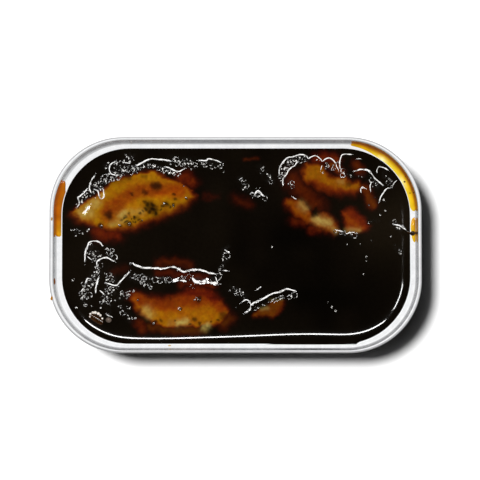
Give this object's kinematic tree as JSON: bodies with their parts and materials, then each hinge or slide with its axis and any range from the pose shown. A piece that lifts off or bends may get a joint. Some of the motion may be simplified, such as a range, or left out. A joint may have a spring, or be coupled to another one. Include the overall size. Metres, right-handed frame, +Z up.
{
  "type": "tin of stuffed squid",
  "caption": "Opened oblong fish tin of stuffed squid in black ink sauce, with the seamed rim left from its peel-off lid and oil in the rim's channel.",
  "frame": {"origin": "on the table, under the middle of the tin", "axes": "+X along the tin, +Y across it away from the viewer, +Z up"},
  "size_m": [0.104, 0.0604, 0.0285],
  "materials": {
    "tin": "satin, with fine drawing lines on the rim",
    "ink_sauce": "wet gloss, almost black",
    "squid_flesh": "wet gloss, amber under a film of oil and ink",
    "tentacle_flesh": "wet gloss, brown with a pale sucker",
    "amber_oil": "clear glossy oil, amber where it is deep and yellow where it is thin"
  },
  "bodies": {
    "root": {"tin_body": "tin", "lid_ring": "tin", "sauce": "ink_sauce", "squid_back_left": "squid_flesh", "squid_back_right": "squid_flesh", "squid_front_left": "squid_flesh", "squid_front_middle": "squid_flesh", "tentacle_tip": "tentacle_flesh", "oil_right_side": "amber_oil", "oil_back_right_corner": "amber_oil", "oil_left_side": "amber_oil"}
  },
  "joints": []
}
